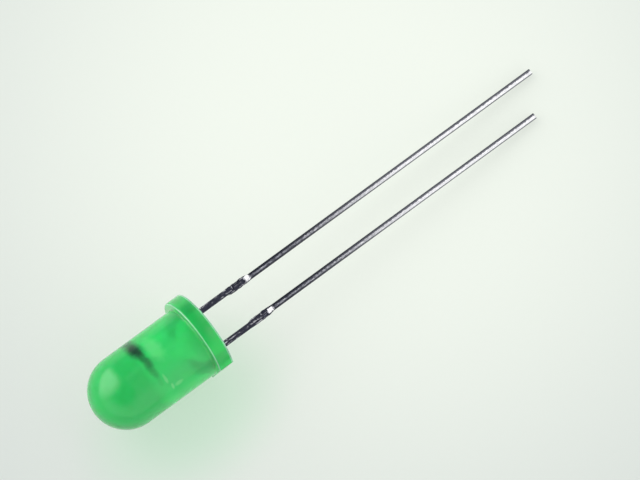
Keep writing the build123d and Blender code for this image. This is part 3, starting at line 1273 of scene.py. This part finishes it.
@dataclass
class Studio:
    """A pale sheet of paper under a light tent, and the camera above, leaning a little towards the dome."""

    aim: Place = (0.616, 0.459, 0.0)
    camera_way: Place = (-0.1302, -0.0811, 0.9882)
    camera_distance: float = 550.0
    camera_yaw: float = 36.73
    view_width: float = 40.459
    sensor: float = 36.0
    clip_near: float = 1.0
    clip_far: float = 16000.0
    floor_size: float = 4000.0
    paper: Colour = (0.875, 0.925, 0.842)
    paper_shade: Colour = (0.655, 0.70, 0.67)
    paper_specular: float = 0.2
    fibre_scale: float = 2.5
    fibre_detail: float = 3.0
    fibre_grain: float = 0.6
    fibre_range: tuple[float, float] = (0.3, 0.7)
    fibre_roughness: tuple[float, float] = (0.7, 0.85)
    fibre_depth: float = 0.004
    # A painted pool of light: the paper darkens away from this place.
    painted_pool_place: Place = (6.7, 5.4, 0.0)
    painted_pool_fade: Fade = (5.0, 40.0)
    # A painted green tint where light through the lens falls on the paper.
    painted_green_light: Colour = (0.83, 0.985, 0.87)
    painted_green_place: Place = (-12.8, -3.4, 0.0)
    painted_green_reach: Place = (9.0, 6.0, 1.0)
    painted_green_fade: Fade = (1.0, 0.2)
    shown_light: float = 0.7
    backdrop: Colour = (0.84, 0.88, 0.82)
    tent: Colour = (1.2, 1.2, 1.19)
    far_side: Colour = (1.12, 1.12, 1.13)
    tent_fade: Fade = (-0.8, 0.5)
    cap: Colour = (0.30, 0.31, 0.36)
    cap_way: Place = (-0.24, -0.04, 0.97)
    cap_fade: Fade = (56.0, 22.0)
    panel: Colour = (1.5, 1.5, 1.5)
    panel_tip_fade: Fade = (0.29, 0.37)
    panel_up_fade: Fade = (0.72, 0.82)
    panel_anode_fade: Fade = (0.16, 0.0)
    panel_cathode_fade: Fade = (-0.55, -0.4)
    wall_start_fade: Fade = (0.02, 0.14)
    wall_end_fade: Fade = (0.46, 0.3)
    wall_side_fade: Fade = (0.3, 0.6)
    window: Colour = (3.2, 3.2, 3.16)
    window_way: Place = (-0.41, 0.79, 0.46)
    window_fade: Fade = (50.0, 8.0)
    window_end_fade: Fade = (0.1, -0.15)

    def build(self) -> None:
        """Build the paper, the tent and the camera."""
        self._floor()
        self._tent()
        self._camera()
        bpy.context.scene.view_settings.view_transform = "Standard"

    def _floor(self) -> None:
        """Lay the paper under the part."""
        shape = bmesh.new()
        bmesh.ops.create_grid(shape, x_segments=1, y_segments=1, size=self.floor_size * MM / 2)
        mesh = bpy.data.meshes.new("paper_floor")
        shape.to_mesh(mesh)
        shape.free()
        floor = bpy.data.objects.new("paper_floor", mesh)
        bpy.context.scene.collection.objects.link(floor)
        floor.data.materials.append(self._paper())

    def _paper(self) -> bpy.types.Material:
        """Make the paper: faintly fibrous, with a painted pool of light and a painted green tint where light
        comes through the lens.

        Returns:
            The finished material.
        """
        material = bpy.data.materials.new("pale_paper")
        material.use_nodes = True
        graph = Graph(material.node_tree)
        place = graph.node("ShaderNodeTexCoord").outputs["Object"]
        vector = graph.stretch(place, (1 / MM, 1 / MM, 1 / MM))
        # Painted pool of light.
        pool = graph.node("ShaderNodeVectorMath", {0: vector, 1: self.painted_pool_place}, operation="DISTANCE")
        pool = graph.fade(pool.outputs["Value"], self.painted_pool_fade)
        colour = graph.blend(pool, rgba(self.paper), rgba(self.paper_shade))
        # Painted green tint of light through the lens.
        green = graph.fade(graph.away(vector, self.painted_green_place, self.painted_green_reach), self.painted_green_fade)
        colour = graph.blend(green, colour, rgba(self.painted_green_light), "MULTIPLY")
        rays = graph.node("ShaderNodeLightPath").outputs
        seen = graph.math("MAXIMUM", rays["Is Camera Ray"], rays["Is Glossy Ray"])
        seen = graph.math("MAXIMUM", seen, rays["Is Transmission Ray"])
        share = graph.math("MULTIPLY", seen, self.shown_light)
        fibre = graph.noise(vector, self.fibre_scale, self.fibre_detail, self.fibre_grain)
        Finish.surface(graph, {
            "Base Color": graph.blend(share, colour, rgba((0.0, 0.0, 0.0))),
            "Emission Color": colour,
            "Emission Strength": share,
            "Roughness": graph.remap(fibre, *self.fibre_range, *self.fibre_roughness),
            "Specular IOR Level": self.paper_specular,
            "Normal": graph.bump(fibre, self.fibre_depth),
        })
        return material

    def _tent(self) -> None:
        """Light the part from a tent: a dark cap, a bright panel, a dark wall and a window on its +Y side."""
        world = bpy.data.worlds.new("light_tent")
        bpy.context.scene.world = world
        world.use_nodes = True
        graph = Graph(world.node_tree)
        way = graph.node("ShaderNodeTexCoord").outputs["Generated"]
        parts = graph.node("ShaderNodeSeparateXYZ", {"Vector": way})
        x, y, up = (parts.outputs[key] for key in "XYZ")
        light = graph.blend(graph.fade(y, self.tent_fade), rgba(self.far_side), rgba(self.tent))
        light = graph.blend(self._cone(graph, way, self.cap_way, self.cap_fade), light, rgba(self.cap))
        panel = graph.product(
            graph.fade(x, self.panel_tip_fade),
            graph.fade(up, self.panel_up_fade),
            graph.fade(y, self.panel_anode_fade),
            graph.fade(y, self.panel_cathode_fade),
        )
        light = graph.blend(panel, light, rgba(self.panel))
        wall = graph.product(
            graph.fade(x, self.wall_start_fade),
            graph.fade(x, self.wall_end_fade),
            graph.fade(y, self.wall_side_fade),
        )
        light = graph.blend(wall, light, rgba(self.cap))
        window = self._cone(graph, way, self.window_way, self.window_fade)
        window = graph.product(window, graph.fade(x, self.window_end_fade))
        light = graph.blend(window, light, rgba(self.window))
        seen = graph.node("ShaderNodeLightPath").outputs["Is Camera Ray"]
        colour = graph.blend(seen, light, rgba(self.backdrop))
        back = graph.node("ShaderNodeBackground", {"Color": colour, "Strength": 1.0})
        graph.node("ShaderNodeOutputWorld", {"Surface": back.outputs[0]})

    @staticmethod
    def _cone(graph: Graph, way: Any, middle: Place, limits: Fade) -> Any:
        """Mask a round part of the tent.

        Args:
            graph: The world's graph.
            way: The direction that is looked in.
            middle: The direction of the part's middle.
            limits: The angles from the middle, in degrees, where the mask is empty and where it is full.

        Returns:
            The mask.
        """
        sockets = {0: way, 1: Vector(middle).normalized()}
        near = graph.node("ShaderNodeVectorMath", sockets, operation="DOT_PRODUCT").outputs["Value"]
        empty, full = (math.cos(math.radians(angle)) for angle in limits)
        return graph.fade(near, (empty, full))

    def _camera(self) -> None:
        """Set the camera above, turned as the part lies in the picture."""
        data = bpy.data.cameras.new("overhead_camera")
        data.sensor_width = self.sensor
        data.lens = self.sensor * self.camera_distance / self.view_width
        data.clip_start = self.clip_near * MM
        data.clip_end = self.clip_far * MM
        camera = bpy.data.objects.new("overhead_camera", data)
        bpy.context.scene.collection.objects.link(camera)
        back = Vector(self.camera_way).normalized()
        yaw = math.radians(self.camera_yaw)
        level = Vector((math.cos(yaw), -math.sin(yaw), 0))
        right = (level - level.dot(back) * back).normalized()
        camera.location = (Vector(self.aim) + back * self.camera_distance) * MM
        camera.rotation_euler = Matrix((right, back.cross(right), back)).transposed().to_euler()
        bpy.context.scene.camera = camera


@dataclass
class ThroughHoleLed:
    """The whole part: lens, leads, chip, paste and wire."""

    seat: Seat
    mounts: dict[str, dict[str, Any]]

    def build(self) -> None:
        """Build and dress every piece."""
        mesher = Mesher(self.seat)
        effects = SharedEffects()
        steel = TinnedSteel(self.seat, effects).make()
        leads = LeadFrame(mesher)
        for side in Side:
            self._settle(leads.build(side), steel, Slot.STEEL, f"{side.name.lower()}_lead")
        rise = Vector(self.mounts["flange_front"]["pos_m"]) - self.seat.origin
        barrel = self.mounts["lens_barrel"]["dims"]
        lens = Lens(mesher, barrel["r_mm"], barrel["length_mm"], rise.dot(self.seat.axis) / MM)
        epoxy = DiffusedEpoxy(self.seat, effects).make()
        self._settle(lens.build(leads), epoxy, Slot.EPOXY, "epoxy_lens")
        self._dress("led_die", SawnCrystal(self.seat, effects).make())
        self._dress("die_attach", SilverPaste(self.seat, effects).make())
        self._dress("bond_wire", GoldWire(self.seat, effects).make())

    @staticmethod
    def _settle(piece: bpy.types.Object, material: bpy.types.Material, slot: Slot, node: str) -> None:
        """Give a new piece its finish and let it stand for its CAD node.

        Args:
            piece: The new piece.
            material: Its finish.
            slot: The record's slot for that finish. It is not used.
            node: The CAD node that it stands for.
        """
        piece.data.materials.clear()
        piece.data.materials.append(material)
        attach(piece, BODY)
        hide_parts(node)
        log.info("%s stands for %s with %d faces", piece.name, node, len(piece.data.polygons))

    @staticmethod
    def _dress(node: str, material: bpy.types.Material) -> None:
        """Give a CAD node its finish.

        Args:
            node: The CAD node.
            material: Its finish.
        """
        slots = frame["nodes"][node].data.materials
        slots.clear()
        slots.append(material)
        log.info("%s keeps its CAD shape with %s", node, material.name)


def main() -> None:
    """Build the part and the studio."""
    logging.basicConfig(level=logging.INFO, format="%(name)s: %(message)s")
    mounts = {mount["name"]: mount for mount in frame["record"]["mounts"]}
    ThroughHoleLed(Seat.from_mounts(mounts), mounts).build()
    Studio().build()
    log.info("sizes written")


if __name__ == "__main__":
    main()
